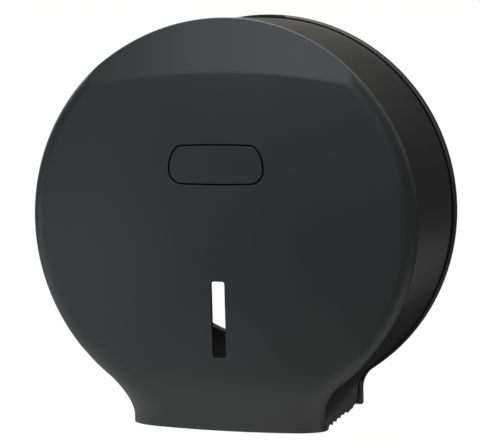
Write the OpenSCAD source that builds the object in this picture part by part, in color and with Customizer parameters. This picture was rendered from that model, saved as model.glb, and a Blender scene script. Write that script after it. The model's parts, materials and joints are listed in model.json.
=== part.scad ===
// Jumbo toilet roll dispenser that hangs on a wall. A drum-shaped cover is hinged at the foot of a ring-shaped
// back plate. A core sleeve turns on a fixed spindle. A two-prong key presses down a sprung latch at the top.
// Frame: origin on the wall at the middle of the drum, +X to the right, -Y out of the wall, +Z up.
// Every module is drawn lying down, as x, up and out of the wall, and stand() turns it upright.

/* [Drum] */
// Radius of the back plate's rim
rim_r = 135; // [134:0.5:138]
// Radius of the cover's side wall
cover_r = 132.8; // [131:0.1:133]
// Distance from the wall to the middle of the front face
depth = 114; // [112:0.5:118]
// Thickness of the cover
wall = 2.6; // [2:0.1:2.8]
// Radius of the front face's bulge
bulge_r = 2050; // [1500:50:3000]
// Radius of the edge between front face and side wall
edge_r = 9.5; // [7:0.5:12]
// Distance from the wall to the cover's rear edge
seam_out = 5.3; // [5:0.1:6]

/* [Sloping faces] */
// Height on the centre line where the front face tilts back
brow_up = 97.8; // [90:0.1:102]
// Tilt of the face above that height
brow_tilt = 19; // [12:1:22]
// Sideways radius of that face
brow_r = 870; // [700:10:1200]
// Depth below the centre where the throat's front face tilts back
chin_drop = 107; // [100:1:112]
// Tilt of the face below that depth
chin_tilt = 8.7; // [5:0.1:10]
// Sideways radius of that face
chin_r = 1700; // [1200:50:2400]

/* [Throat] */
// Half width of the paper outlet
neck_w = 67; // [66:0.1:67.2]
// Radius of the hollow corners between drum and outlet
neck_fillet = 17; // [14:1:20]
// Lowest point of the front lip below the drum's centre
lip_drop = 139.3; // [138:0.1:141]
// Radius of the lip's front corners
lip_corner_r = 22; // [16:1:24]
// Bottom of the side walls below the drum's centre
tooth_drop = 137.5; // [136.5:0.1:138]
// Distance between neighbouring tear teeth
tooth_pitch = 9.92; // [9:0.02:10.5]
// Number of scallops between the teeth of one side
tooth_gaps = 5; // [3:1:5]

/* [Viewing slot] */
// Half width of the slot that shows the paper level
slot_half_w = 5; // [4:0.5:7]
// Upper end of the slot below the centre
slot_top = 37.3; // [34:0.1:45]
// Lower end of the slot below the centre
slot_bottom = 89.3; // [80:0.1:92]

/* [Badge] */
// Half width of the blank badge
badge_half_w = 32.5; // [28:0.5:36]
// Bottom edge of the badge above the centre
badge_low = 25.1; // [24:0.1:28]
// Top edge of the badge above the centre
badge_high = 50.5; // [48:0.1:54]
// Width of the groove around the badge
badge_gap = 0.7; // [0.4:0.1:1]

/* [Back plate] */
// Radius of the large opening in the back plate
opening_r = 95; // [90:1:97]
// Distance of each wall screw from the centre, along X and along Z
wall_screw_at = 79; // [77:0.5:80]
// Radius of the wall screw holes
wall_hole_r = 2.6; // [2.2:0.1:3]
// Half width of the four spokes
spoke_half_w = 13; // [10:1:16]

/* [Spindle] */
// Radius of the fixed spindle
post_r = 15; // [14:0.5:16]
// Distance from the wall to the spindle's end
post_end = 99.6; // [96:0.1:101]
// Radius of the turning core sleeve
core_r = 22.4; // [21:0.1:24]
// Radial clearance between sleeve and spindle
core_play = 0.08; // [0.04:0.02:0.1]

/* [Cover hinge] */
// Distance from the wall to the hinge axis
pivot_out = 22; // [21.5:0.1:23]
// Depth of the hinge axis below the centre
pivot_drop = 127.5; // [127:0.1:128]
// Radius of the hinge pins
pin_r = 2.5; // [2:0.1:2.8]
// Radial clearance between pin and bush
pin_play = 0.06; // [0.02:0.02:0.1]

/* [Latch] */
// Bottom of the lock housing above the centre
lock_low = 90; // [88:0.5:91]
// How far the key pushes the latch down
latch_travel = 5.5; // [5:0.1:6]
// Radius of the spring wire
wire_r = 0.3; // [0.2:0.05:0.35]
// Number of turns of each latch spring
spring_turns = 7; // [5:1:8]

/* [Hidden] */
$fn = 120;

// How far a cut runs past a face, and how far joined shapes run into each other
cut = 1;
eps = 0.01;
overlap = 2;
// Play of a screw in the hole of the part that it holds
screw_play = 0.35;
// Number of strips in half of a bowed face
bow_steps = 12;

// Drop of a circle of radius r at a distance x from its highest point
function sag(x, r) = r - sqrt(r * r - x * x);
// Distance of the front face from the wall at distance r from the drum's axis
function face_out(r) = depth - sag(r, bulge_r);

// Bow of the lip seen from below, and where the front face meets its round edge
lip_bow_r = 700;
edge_out = face_out(cover_r - edge_r);
// Distance from the wall to the centres of the lip's round corners, which touch the bow of the lip
lip_corner_x = neck_w - lip_corner_r;
lip_corner_out = face_out(chin_drop) - sag(lip_corner_x, lip_bow_r - lip_corner_r) - lip_corner_r;
inner_r = cover_r - wall;

// Back plate levels and sizes
rim_out = 4.7;
web_back = 1.6;
web_front = 4;
rim_width = 5;
rim_step = 0.5;
rim_step_h = 1.2;
bead_w = 1.5;
bead_inset = 0.1;
bead_out = 5.8;
bead_drop = 108;
groove_w = 1;
groove_back = 2.4;
plate_neck_w = neck_w + 0.5;
plate_drop = 137.5;
flange_out = 7;
flange_w = 2.5;
flange_top = 119.5;
lip_w = 2.5;
lip_out = 8;
hub_r = 34;
spoke_root = 30;
rib_w = 2.4;
rib_out = 7;
rib_angles = [0, 22.5, 67.5, 112.5, 157.5, 180, 202.5, 247.5, 292.5, 337.5];
collar_r = 128.5;
collar_w = 2;
collar_out = 9.5;
collar_low = -40;
collar_gap = 24;
wall_boss_r = 9;
wall_boss_out = 6;
countersink = 2.2;
lock_boss_r = 3.4;

// Cover details
throat_cut = 15;
notch_r = 10;
heel_r = pivot_out - throat_cut;
side_slab = 60;
slope_reach = 400;
slope_half_w = cover_r + 20;
tooth_front = 91.4;
tooth_depth = 2;
tooth_scallop_r = (pow(tooth_pitch / 2, 2) + pow(tooth_depth, 2)) / (2 * tooth_depth);
teeth_end = tooth_front - tooth_gaps * tooth_pitch;
slot_corner = 1.5;
key_half_w = 15.5;
key_out = 10;

// Badge details
badge_floor = 112.3;
badge_top_r = 9;
badge_foot_r = 6.2;
badge_taper = 0.8;
peg_r = 1.5;
peg_x = 18;
peg_up = 38;
peg_in = 107;
clip_r = 4;
clip_h = 1.2;
clip_out = 109.6;

// Hinge details
lug_in = 54.5;
lug_out_x = 60.5;
lug_r = 6.5;
ear_in = 61;
ear_r = 8;
ear_wall_x = neck_w - wall;
heel_len = 10;
heel_half_w = 3;
gusset_h = 26;
stop_play = 0.1;
stop_h = 3;
stop_gap = 0.5;
bush_r = 4;
bush_flange_r = 5.5;
bush_flange_w = 0.4;
bush_end = 65.2;
pin_end = 64.9;
pin_head_r = 4;
pin_head_w = 1.6;

// Spindle details
spindle_flange_r = 30;
spindle_flange_out = 11.4;
spindle_bore_r = 12;
spindle_core_r = 5;
spindle_core_end = 91.6;
spindle_rib_w = 1.8;
spindle_rib_end = 89.6;
spindle_screw_at = 23;
spindle_screw_r = 1.6;
spindle_screw_len = 9;
spindle_screw_head_r = 3.8;
spindle_screw_head_h = 1.9;
spindle_screw_angles = [90:120:330];
sleeve_in = 11.6;
sleeve_end = 98;
sleeve_chamfer = 1;
sleeve_flange_r = 35;
sleeve_flange_w = 2.5;
sleeve_spigot_r = 19.5;
sleeve_flutes = 6;
sleeve_turn = 22.5;
sleeve_flute_w = 3.6;
sleeve_flute_depth = 1;
sleeve_web_angle = 10;
sleeve_pocket_r = 17.2;
sleeve_pocket_w = 2.8;
washer_r = 21;
washer_play = 0.2;
washer_end_play = 0.1;
cap_r = 21;
cap_top = 103;
cap_edge_r = 1.5;
cap_plug_h = 5;
cap_plug_play = 0.1;
cap_seat = 2.4;
cap_seat_r = 4.2;
cap_screw_r = 1.75;
cap_screw_len = 22;
cap_screw_head_r = 3.7;
cap_screw_head_h = 2;
cap_pilot_len = 30;

// Latch details
lock_half_w = 21;
lock_high = 121.5;
lock_out = 10.8;
lock_lid_w = 1.8;
lock_floor_w = 3;
lock_seat_play = 0.3;
channel_half_w = 13.2;
channel_floor = lock_low + lock_floor_w;
channel_roof = 119;
slide_half_w = 13;
slide_low = 105;
slide_end_play = 0.1;
slide_high = channel_roof - slide_end_play;
slide_back = 4.2;
slide_front = 10.6;
key_pad_in = 5;
key_pad_out = 11;
key_pad_high = 125;
arm_half_w = 8;
arm_low = 108;
arm_high = 111.5;
hook_back = 17.3;
hook_front = 21.5;
hook_top = 118.6;
hook_ramp = 113.5;
hook_ramp_out = 19.3;
window_play = 0.2;
lock_screw_x = 17.2;
lock_screw_ups = [94.5, 117];
lock_screw_r = 1.25;
lock_screw_len = 11.6;
lock_screw_head_r = 2.6;
lock_screw_head_h = 1.7;
spring_x = 7.5;
spring_out = 7.4;
spring_mean_r = 2.4;
spring_seat = 1.5;
spring_seat_r = 3.1;
spring_sides = 6;
spring_rings_per_turn = 12;

// Keeper details
keeper_half_w = 14;
keeper_lip_half_w = 10;
keeper_back = 15;
keeper_lip_w = 2;
keeper_low = 114;
keeper_under = 119.2;
keeper_w = 2;
keeper_front = 37;
keeper_screw_x = 9;
keeper_screw_out = 31;
keeper_boss_back = 24;
keeper_boss_front = 38;
keeper_boss_half_w = 14.5;
keeper_boss_high = 130.6;
keeper_pilot_high = 129;
keeper_screw_r = 1.3;
keeper_screw_len = 9.2;
keeper_screw_head_r = 2.7;
keeper_screw_head_h = 1.7;

// Turns a body drawn as x, up, out so that up is +Z and out is -Y
module stand() {
    rotate([90, 0, 0]) children();
}

// Extrudes an outline drawn as out, up along X from x0 to x1
module across(x0, x1) {
    translate([x1, 0, 0]) rotate([0, -90, 0]) linear_extrude(x1 - x0) children();
}

// A round bar along X on the hinge axis
module pivot_bar(x0, x1, r) {
    translate([x0, -pivot_drop, pivot_out]) rotate([0, 90, 0]) cylinder(r = r, h = x1 - x0);
}

// The same shape on the right and, mirrored, on the left
module both_sides() {
    children();
    mirror([1, 0, 0]) children();
}

// A box from one corner to the opposite one
module span(low, high) {
    translate(low) cube(high - low);
}

// Webs that fill the corners between a drum outline and its neck with a hollow radius f
module corner_webs(r, w, f) {
    up = -sqrt(pow(r + f, 2) - pow(w + f, 2));
    k = (r - overlap) / (r + f);
    both_sides() difference() {
        polygon([[w - overlap, up], [w + f, up], [(w + f) * k, up * k], [w - overlap, up * k]]);
        translate([w + f, up]) circle(f);
    }
}

// The screw holes of the spindle flange, each drawn along +Z from the hub's face
module at_spindle_screws() {
    for (a = spindle_screw_angles) rotate([0, 0, a]) translate([spindle_screw_at, 0, lip_out]) children();
}

// Both sides and both heights of the lock's screws
module at_lock_screws() {
    for (x = [-1, 1], up = lock_screw_ups) translate([x * lock_screw_x, up, 0]) children();
}

// The four wall screws
module at_wall_screws() {
    for (x = [-1, 1], y = [-1, 1]) translate([x * wall_screw_at, y * wall_screw_at, 0]) children();
}

// Outline of the back plate, set in from its rim by t
module plate_outline(t) {
    circle(rim_r - t);
    translate([t - plate_neck_w, t - plate_drop]) square([2 * (plate_neck_w - t), plate_drop - t]);
    corner_webs(rim_r - t, plate_neck_w - t, neck_fillet + t);
}

// Cross recess in a screw head of radius r, with its bottom at the origin
module cross_recess(r) {
    for (a = [0, 90]) rotate([0, 0, a]) translate([-r / 2, -r / 8, 0]) cube([r, r / 4, r]);
}

// A screw along +Z whose head starts at the origin
module screw(shank_r, shank, head_r, head_h) {
    difference() {
        union() {
            translate([0, 0, -shank]) cylinder(r = shank_r, h = shank + eps);
            cylinder(r1 = head_r, r2 = head_r * 0.8, h = head_h);
        }
        translate([0, 0, head_h / 2]) cross_recess(head_r);
    }
}

// A flush screw along +Z whose flat top lies at the origin
module flush_screw(shank_r, shank, head_r, head_h) {
    difference() {
        union() {
            translate([0, 0, -shank]) cylinder(r = shank_r, h = shank - head_h + eps);
            translate([0, 0, -head_h]) cylinder(r1 = shank_r, r2 = head_r, h = head_h);
        }
        translate([0, 0, -head_h / 2]) cross_recess(head_r);
    }
}

// Half section of the domed front face out to radius r, set in by t
module dome_section(r, t, back) {
    intersection() {
        translate([0, depth - bulge_r]) circle(bulge_r - t);
        translate([0, back]) square([r, depth]);
    }
}

// Drum of the cover, set in by t from its outer skin
module drum(t, back) {
    rotate_extrude() {
        dome_section(cover_r - edge_r, t, back);
        translate([0, back]) square([cover_r - t, edge_out - edge_r - back]);
        translate([cover_r - edge_r, edge_out - edge_r]) circle(edge_r - t);
    }
}

// Section in x, out behind an arc of radius r and half width w, down to back
module bow_section(w, r, t, back) {
    front = [for (i = [bow_steps:-1:-bow_steps]) let (x = w * i / bow_steps) [x, -sag(x, r) - t]];
    polygon(concat([[-w, back], [w, back]], front));
}

// Plan of the throat as x, out, set in by t: a bowed front between two round corners
module throat_plan(t, back) {
    bow_out = face_out(chin_drop);
    bow_half_w = lip_corner_x * (lip_bow_r - t) / (lip_bow_r - lip_corner_r);
    translate([t - neck_w, back]) square([2 * (neck_w - t), lip_corner_out - back]);
    translate([0, bow_out]) bow_section(bow_half_w, lip_bow_r, t, back - bow_out);
    for (s = [-1, 1]) translate([s * lip_corner_x, lip_corner_out]) circle(lip_corner_r - t);
}

// Throat of the cover, set in by t and reaching down to low
module throat(t, back, low) {
    translate([0, -chin_drop, 0]) rotate([90, 0, 0]) linear_extrude(low - chin_drop) throat_plan(t, back);
}

// A long bar with a bowed front that passes through a height and an out, tilted about X
module slope(up, out, tilt, r, t) {
    translate([0, up, out]) rotate([tilt, 0, 0])
        translate([0, slope_reach, 0]) rotate([90, 0, 0])
            linear_extrude(2 * slope_reach) bow_section(slope_half_w, r, t, -slope_reach);
}

// Outer body of the cover without its hollow, set in by t
module cover_body(t, back, low) {
    intersection() {
        union() {
            drum(t, back);
            throat(t, back, low);
            translate([0, 0, back]) linear_extrude(lip_corner_out - back)
                corner_webs(cover_r - t, neck_w - t, neck_fillet + t);
        }
        slope(brow_up, face_out(brow_up), -brow_tilt, brow_r, t);
        slope(-chin_drop, face_out(chin_drop), chin_tilt, chin_r, t);
    }
}

// Side view of what remains of the throat's side walls, as out, up
module side_profile() {
    difference() {
        union() {
            translate([0, -pivot_drop]) square([depth, pivot_drop]);
            translate([pivot_out, -pivot_drop]) circle(heel_r);
            polygon([
                [pivot_out, -pivot_drop], [pivot_out, -pivot_drop - heel_r], [teeth_end, -tooth_drop],
                [depth, -tooth_drop], [depth, -pivot_drop]
            ]);
        }
        translate([throat_cut - notch_r, -pivot_drop]) circle(notch_r);
        for (i = [0:tooth_gaps - 1])
            translate([tooth_front - (i + 0.5) * tooth_pitch, -tooth_drop + tooth_depth - tooth_scallop_r])
                circle(tooth_scallop_r);
    }
}

// What is cut away from the side walls below the drum
module side_cut() {
    both_sides() across(side_slab, neck_w + cut) difference() {
        translate([-cut, -lip_drop - cut])
            square([tooth_front + cut, lip_drop - pivot_drop + notch_r + 2 * cut]);
        side_profile();
    }
}

// Outline of the viewing slot as x, up, with round corners
module slot_outline() {
    inner_w = slot_half_w - slot_corner;
    translate([-slot_half_w, slot_corner - slot_bottom])
        square([2 * slot_half_w, slot_bottom - slot_top - 2 * slot_corner]);
    translate([-inner_w, -slot_bottom]) square([2 * inner_w, slot_bottom - slot_top]);
    for (x = [-1, 1], up = [slot_corner - slot_bottom, -slot_top - slot_corner])
        translate([x * inner_w, up]) circle(slot_corner);
}

// Outline of the badge as x, up, grown by g: narrower at the top than at the foot
module badge_outline(g) {
    top_x = badge_half_w - badge_top_r - badge_taper;
    foot_x = badge_half_w - badge_foot_r;
    hull() for (s = [-1, 1]) {
        translate([s * top_x, badge_high - badge_top_r]) circle(badge_top_r + g);
        translate([s * foot_x, badge_low + badge_foot_r]) circle(badge_foot_r + g);
    }
}

// Hinge ears inside the cover's side walls, with a heel that meets the stop when the cover is fully open
module cover_ears() {
    both_sides() difference() {
        across(ear_in, ear_wall_x + eps) translate([pivot_out, -pivot_drop]) {
            circle(ear_r);
            translate([-heel_half_w, -heel_len]) square([2 * heel_half_w, heel_len]);
        }
        pivot_bar(ear_in - cut, ear_wall_x + cut, bush_r);
    }
}

module cover_shell() {
    color("#2b2b2d") stand() {
        difference() {
            cover_body(0, seam_out, lip_drop);
            cover_body(wall, -cut, lip_drop + 10 * cut);
            side_cut();
            both_sides() pivot_bar(ear_in, bush_end, bush_r);
            translate([0, 0, depth / 2]) linear_extrude(depth) slot_outline();
            translate([0, 0, badge_floor]) linear_extrude(wall * 2) badge_outline(badge_gap);
            for (s = [-1, 1]) translate([s * peg_x, peg_up, depth / 2]) cylinder(r = peg_r, h = depth);
            span([-key_half_w, inner_r / 2, 0], [key_half_w, cover_r + cut, key_out]);
        }
        cover_ears();
        difference() {
            span([-keeper_boss_half_w, keeper_under + keeper_w, keeper_boss_back],
                [keeper_boss_half_w, keeper_boss_high, keeper_boss_front]);
            for (s = [-1, 1]) translate([s * keeper_screw_x, keeper_pilot_high, keeper_screw_out])
                rotate([90, 0, 0]) cylinder(r = keeper_screw_r, h = keeper_pilot_high);
        }
    }
}

module badge_plate() {
    color("#303032") stand() {
        intersection() {
            translate([0, 0, badge_floor]) linear_extrude(wall) badge_outline(0);
            rotate_extrude() intersection() {
                translate([0, depth]) bow_section(cover_r / 2, bulge_r, 0, -depth);
                square([cover_r, depth]);
            }
        }
        for (s = [-1, 1]) translate([s * peg_x, peg_up, peg_in])
            cylinder(r = peg_r, h = badge_floor - peg_in + eps);
    }
}

module badge_clips() {
    color("silver") stand()
        for (s = [-1, 1]) translate([s * peg_x, peg_up, clip_out]) difference() {
            cylinder(r = clip_r, h = clip_h);
            translate([0, 0, -cut]) cylinder(r = peg_r, h = clip_h + 2 * cut);
        }
}

// The part of a ring around the drum that lies above the given drop
module ring_above(drop, r, w) {
    difference() {
        circle(r);
        circle(r - w);
        translate([-rim_r, -drop - rim_r]) square([2 * rim_r, rim_r]);
    }
}

// Flat parts of the back plate: web, stepped rim with its bead and shadow groove, side flanges and rear ribs
module plate_ring() {
    difference() {
        union() {
            translate([0, 0, web_back]) linear_extrude(bead_out - web_back) difference() {
                ring_above(bead_drop, rim_r - bead_inset, bead_w + groove_w / 2);
                translate([-key_half_w, 0]) square([2 * key_half_w, 2 * rim_r]);
            }
            translate([0, 0, web_back]) linear_extrude(web_front - web_back) plate_outline(rim_width - overlap);
            linear_extrude(rim_out - rim_step_h) difference() {
                plate_outline(0);
                plate_outline(rim_width);
            }
            linear_extrude(rim_out) difference() {
                plate_outline(rim_step);
                plate_outline(rim_width);
            }
            linear_extrude(flange_out) difference() {
                plate_outline(0);
                plate_outline(flange_w);
                translate([-rim_r, -flange_top]) square([2 * rim_r, 2 * rim_r]);
                translate([-side_slab, -2 * rim_r]) square([2 * side_slab, 2 * rim_r]);
            }
            cylinder(r = opening_r + lip_w, h = lip_out);
        }
        translate([0, 0, -cut]) cylinder(r = opening_r, h = lip_out + 2 * cut);
        translate([0, 0, groove_back]) linear_extrude(rim_out)
            ring_above(bead_drop + groove_w, rim_r - bead_inset - bead_w, groove_w);
    }
}

// Spokes, hub and radial ribs of the back plate
module plate_ribs() {
    for (a = [0:90:270]) rotate([0, 0, a]) {
        span([spoke_root, -spoke_half_w, web_back], [opening_r + eps, spoke_half_w, web_front]);
        for (s = [-1:1])
            translate([0, s * (spoke_half_w - rib_w / 2), 0])
                span([spoke_root, -rib_w / 2, 0], [opening_r + eps, rib_w / 2, lip_out]);
    }
    for (a = rib_angles) rotate([0, 0, a])
        span([opening_r + lip_w / 2, -rib_w / 2, 0], [collar_r - collar_w / 2, rib_w / 2, rib_out]);
    cylinder(r = hub_r, h = lip_out);
}

// Collar that the closed cover slips over, left open below and around the lock
module plate_collar() {
    translate([0, 0, web_front - eps]) linear_extrude(collar_out - web_front) difference() {
        circle(collar_r);
        circle(collar_r - collar_w);
        translate([-rim_r, collar_low - 2 * rim_r]) square([2 * rim_r, 2 * rim_r]);
        translate([-collar_gap, 0]) square([2 * collar_gap, 2 * rim_r]);
    }
}

// Hinge lugs and the stops that the cover's heels meet
module plate_lugs() {
    stop_low = heel_half_w + stop_play - pivot_drop;
    both_sides() {
        across(lug_in, lug_out_x) {
            translate([pivot_out, -pivot_drop]) circle(lug_r);
            translate([0, -pivot_drop]) polygon([
                [web_back, -lug_r], [pivot_out, -lug_r], [pivot_out, lug_r],
                [web_front, gusset_h], [web_back, gusset_h]
            ]);
        }
        across(lug_out_x - eps, ear_wall_x - stop_gap)
            translate([web_back, stop_low]) square([pivot_out - ear_r - stop_gap - web_back, stop_h]);
    }
}

module back_plate() {
    color("#262628") stand() difference() {
        union() {
            plate_ring();
            plate_ribs();
            plate_collar();
            plate_lugs();
            at_wall_screws() cylinder(r = wall_boss_r, h = wall_boss_out);
            at_lock_screws() cylinder(r = lock_boss_r, h = web_front);
        }
        at_wall_screws() {
            translate([0, 0, -cut]) cylinder(r = wall_hole_r, h = wall_boss_out + 2 * cut);
            translate([0, 0, wall_boss_out - countersink])
                cylinder(r1 = wall_hole_r, r2 = wall_hole_r + countersink + eps, h = countersink + eps);
        }
        span([-lock_half_w - lock_seat_play, lock_low - lock_seat_play, web_front],
            [lock_half_w + lock_seat_play, lock_high, lip_out + cut]);
        at_lock_screws() translate([0, 0, rim_step]) cylinder(r = lock_screw_r, h = web_front);
        at_spindle_screws() translate([0, 0, cut - lip_out]) cylinder(r = spindle_screw_r, h = lip_out);
        both_sides() pivot_bar(lug_in - cut, lug_out_x + cut, pin_r);
    }
}

module hinge_pin() {
    pivot_bar(lug_in, pin_end, pin_r);
    pivot_bar(lug_in - pin_head_w, lug_in, pin_head_r);
}

module hinge_pin_left() {
    color("silver") stand() mirror([1, 0, 0]) hinge_pin();
}

module hinge_pin_right() {
    color("silver") stand() hinge_pin();
}

module hinge_bush() {
    difference() {
        union() {
            pivot_bar(ear_in - bush_flange_w, ear_in, bush_flange_r);
            pivot_bar(ear_in, bush_end, bush_r);
        }
        pivot_bar(ear_in - cut, bush_end + cut, pin_r + pin_play);
    }
}

module hinge_bush_left() {
    color("ivory") stand() mirror([1, 0, 0]) hinge_bush();
}

module hinge_bush_right() {
    color("ivory") stand() hinge_bush();
}

module spindle_flange() {
    head_h = spindle_screw_head_h + screw_play;
    color("#d8d8d6") stand() difference() {
        translate([0, 0, lip_out]) cylinder(r = spindle_flange_r, h = spindle_flange_out - lip_out);
        translate([0, 0, lip_out - cut]) cylinder(r = post_r, h = spindle_flange_out);
        at_spindle_screws() {
            translate([0, 0, -cut]) cylinder(r = spindle_screw_r + screw_play, h = spindle_flange_out);
            translate([0, 0, spindle_flange_out - lip_out - head_h])
                cylinder(r1 = spindle_screw_r, r2 = spindle_screw_head_r + screw_play, h = head_h + eps);
        }
    }
}

module spindle_post() {
    color("#d8d8d6") stand() difference() {
        union() {
            difference() {
                translate([0, 0, lip_out]) cylinder(r = post_r, h = post_end - lip_out);
                translate([0, 0, spindle_flange_out]) cylinder(r = spindle_bore_r, h = post_end);
            }
            translate([0, 0, lip_out]) cylinder(r = spindle_core_r, h = spindle_core_end - lip_out);
            for (a = [0, 90]) rotate([0, 0, a])
                span([-spindle_bore_r - cut, -spindle_rib_w / 2, lip_out],
                    [spindle_bore_r + cut, spindle_rib_w / 2, spindle_rib_end]);
        }
        translate([0, 0, post_end - cap_pilot_len]) cylinder(r = cap_screw_r, h = cap_pilot_len + cut);
    }
}

module spindle_screws() {
    color("silver") stand() at_spindle_screws() translate([0, 0, spindle_flange_out - lip_out])
        flush_screw(spindle_screw_r, spindle_screw_len, spindle_screw_head_r, spindle_screw_head_h);
}

module core_sleeve() {
    color("#c9c9c7") stand() difference() {
        rotate_extrude() polygon([
            [post_r + core_play, sleeve_in], [sleeve_spigot_r, sleeve_in],
            [sleeve_spigot_r, sleeve_in + sleeve_flange_w], [core_r, sleeve_in + sleeve_flange_w],
            [core_r, sleeve_end - sleeve_chamfer], [core_r - sleeve_chamfer, sleeve_end],
            [post_r + core_play, sleeve_end]
        ]);
        for (i = [0:sleeve_flutes - 1]) rotate([0, 0, sleeve_turn + i * 360 / sleeve_flutes]) {
            span([core_r - sleeve_flute_depth, -sleeve_flute_w / 2, sleeve_in + sleeve_flange_w * 2],
                [core_r + cut, sleeve_flute_w / 2, sleeve_end + cut]);
            rotate([0, 0, sleeve_web_angle / 2]) translate([0, 0, sleeve_in + sleeve_flange_w * 2])
                rotate_extrude(angle = 360 / sleeve_flutes - sleeve_web_angle)
                    translate([sleeve_pocket_r, 0]) square([sleeve_pocket_w, sleeve_end]);
        }
    }
}

module sleeve_flange() {
    color("#c9c9c7") stand() translate([0, 0, sleeve_in]) difference() {
        cylinder(r = sleeve_flange_r, h = sleeve_flange_w);
        translate([0, 0, -cut]) cylinder(r = sleeve_spigot_r, h = sleeve_flange_w + 2 * cut);
    }
}

module thrust_washer() {
    color("ivory") stand() translate([0, 0, sleeve_end + washer_end_play]) difference() {
        cylinder(r = washer_r, h = post_end - sleeve_end - washer_end_play);
        translate([0, 0, -cut]) cylinder(r = post_r + washer_play, h = post_end - sleeve_end + 2 * cut);
    }
}

module spindle_cap() {
    color("#2b2b2d") stand() difference() {
        union() {
            rotate_extrude() {
                translate([0, post_end]) square([cap_r, cap_top - post_end - cap_edge_r]);
                translate([0, post_end]) square([cap_r - cap_edge_r, cap_top - post_end]);
                translate([cap_r - cap_edge_r, cap_top - cap_edge_r]) circle(cap_edge_r);
            }
            translate([0, 0, post_end - cap_plug_h])
                cylinder(r = spindle_bore_r - cap_plug_play, h = cap_plug_h + eps);
        }
        translate([0, 0, post_end - cap_plug_h - cut]) cylinder(r = cap_screw_r + screw_play, h = cap_top);
        translate([0, 0, cap_top - cap_seat]) cylinder(r = cap_seat_r, h = cap_seat + cut);
    }
}

module cap_screw() {
    color("silver") stand() translate([0, 0, cap_top - cap_seat])
        screw(cap_screw_r, cap_screw_len, cap_screw_head_r, cap_screw_head_h);
}

module lock_housing() {
    color("#3a3a3c") stand() difference() {
        span([-lock_half_w, lock_low, web_front], [lock_half_w, lock_high, lock_out]);
        span([-channel_half_w, channel_floor, 0], [channel_half_w, channel_roof, lock_out + cut]);
        both_sides() span([key_pad_in - window_play, channel_roof - cut, seam_out],
            [key_pad_out + window_play, lock_high + cut, key_out]);
        at_lock_screws() cylinder(r = lock_screw_r + screw_play, h = lock_out + cut);
    }
}

module lock_lid() {
    color("#2b2b2d") stand() difference() {
        span([-lock_half_w, lock_low, lock_out], [lock_half_w, lock_high, lock_out + lock_lid_w]);
        span([-arm_half_w - window_play, arm_low - latch_travel - window_play * 2, 0],
            [arm_half_w + window_play, channel_roof, hook_front]);
        at_lock_screws() cylinder(r = lock_screw_r + screw_play, h = hook_front);
    }
}

module lock_screws() {
    color("silver") stand() at_lock_screws() translate([0, 0, lock_out + lock_lid_w])
        screw(lock_screw_r, lock_screw_len, lock_screw_head_r, lock_screw_head_h);
}

module latch_slide() {
    color("#c4c5c1") stand() difference() {
        union() {
            span([-slide_half_w, slide_low, slide_back], [slide_half_w, slide_high, slide_front]);
            both_sides() span([key_pad_in, slide_high - cut, seam_out + window_play],
                [key_pad_out, key_pad_high, key_out - window_play]);
            span([-arm_half_w, arm_low, slide_front - cut], [arm_half_w, arm_high, hook_front]);
            across(-arm_half_w, arm_half_w) polygon([
                [hook_back, arm_low], [hook_front, arm_low], [hook_front, hook_ramp],
                [hook_ramp_out, hook_top], [hook_back, hook_top]
            ]);
        }
        for (s = [-1, 1]) translate([s * spring_x, slide_low - cut, spring_out])
            rotate([-90, 0, 0]) cylinder(r = spring_seat_r, h = spring_seat + cut);
    }
}

// A coil of round wire around +Z from low to high, as one swept tube
module coil(low, high) {
    rings = spring_turns * spring_rings_per_turn;
    rise = (high - low - 2 * wire_r) / rings;
    points = [
        for (i = [0:rings], k = [0:spring_sides - 1])
            let (a = i * 360 / spring_rings_per_turn, b = k * 360 / spring_sides)
                let (r = spring_mean_r + wire_r * cos(b))
                    [r * cos(a), r * sin(a), low + wire_r + i * rise + wire_r * sin(b)]
    ];
    sides = [
        for (i = [0:rings - 1], k = [0:spring_sides - 1])
            let (n = (k + 1) % spring_sides, a = i * spring_sides, b = a + spring_sides)
                [a + k, b + k, b + n, a + n]
    ];
    first = [for (k = [0:spring_sides - 1]) k];
    last = [for (k = [spring_sides - 1:-1:0]) rings * spring_sides + k];
    polyhedron(points, concat(sides, [first, last]));
}

module latch_spring(x) {
    stand() translate([x, 0, spring_out]) rotate([-90, 0, 0]) coil(channel_floor, slide_low + spring_seat);
}

module latch_spring_left() {
    color("silver") latch_spring(-spring_x);
}

module latch_spring_right() {
    color("silver") latch_spring(spring_x);
}

module cover_keeper() {
    color("silver") stand() difference() {
        union() {
            span([-keeper_lip_half_w, keeper_low, keeper_back],
                [keeper_lip_half_w, keeper_under + cut, keeper_back + keeper_lip_w]);
            span([-keeper_half_w, keeper_under, keeper_back],
                [keeper_half_w, keeper_under + keeper_w, keeper_front]);
        }
        for (s = [-1, 1]) translate([s * keeper_screw_x, keeper_under + keeper_w + cut, keeper_screw_out])
            rotate([90, 0, 0]) cylinder(r = keeper_screw_r + screw_play, h = keeper_w + 2 * cut);
    }
}

module keeper_screws() {
    color("silver") stand()
        for (s = [-1, 1]) translate([s * keeper_screw_x, keeper_under, keeper_screw_out])
            rotate([90, 0, 0])
                screw(keeper_screw_r, keeper_screw_len, keeper_screw_head_r, keeper_screw_head_h);
}

back_plate();
spindle_flange();
spindle_post();
spindle_screws();
core_sleeve();
sleeve_flange();
thrust_washer();
spindle_cap();
cap_screw();
cover_shell();
badge_plate();
badge_clips();
hinge_pin_left();
hinge_pin_right();
hinge_bush_left();
hinge_bush_right();
lock_housing();
lock_lid();
lock_screws();
latch_slide();
latch_spring_left();
latch_spring_right();
cover_keeper();
keeper_screws();
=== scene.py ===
import json
import math

import bmesh
import bpy
import numpy as np
from mathutils import Matrix, Vector
from mathutils.geometry import delaunay_2d_cdt

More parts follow.
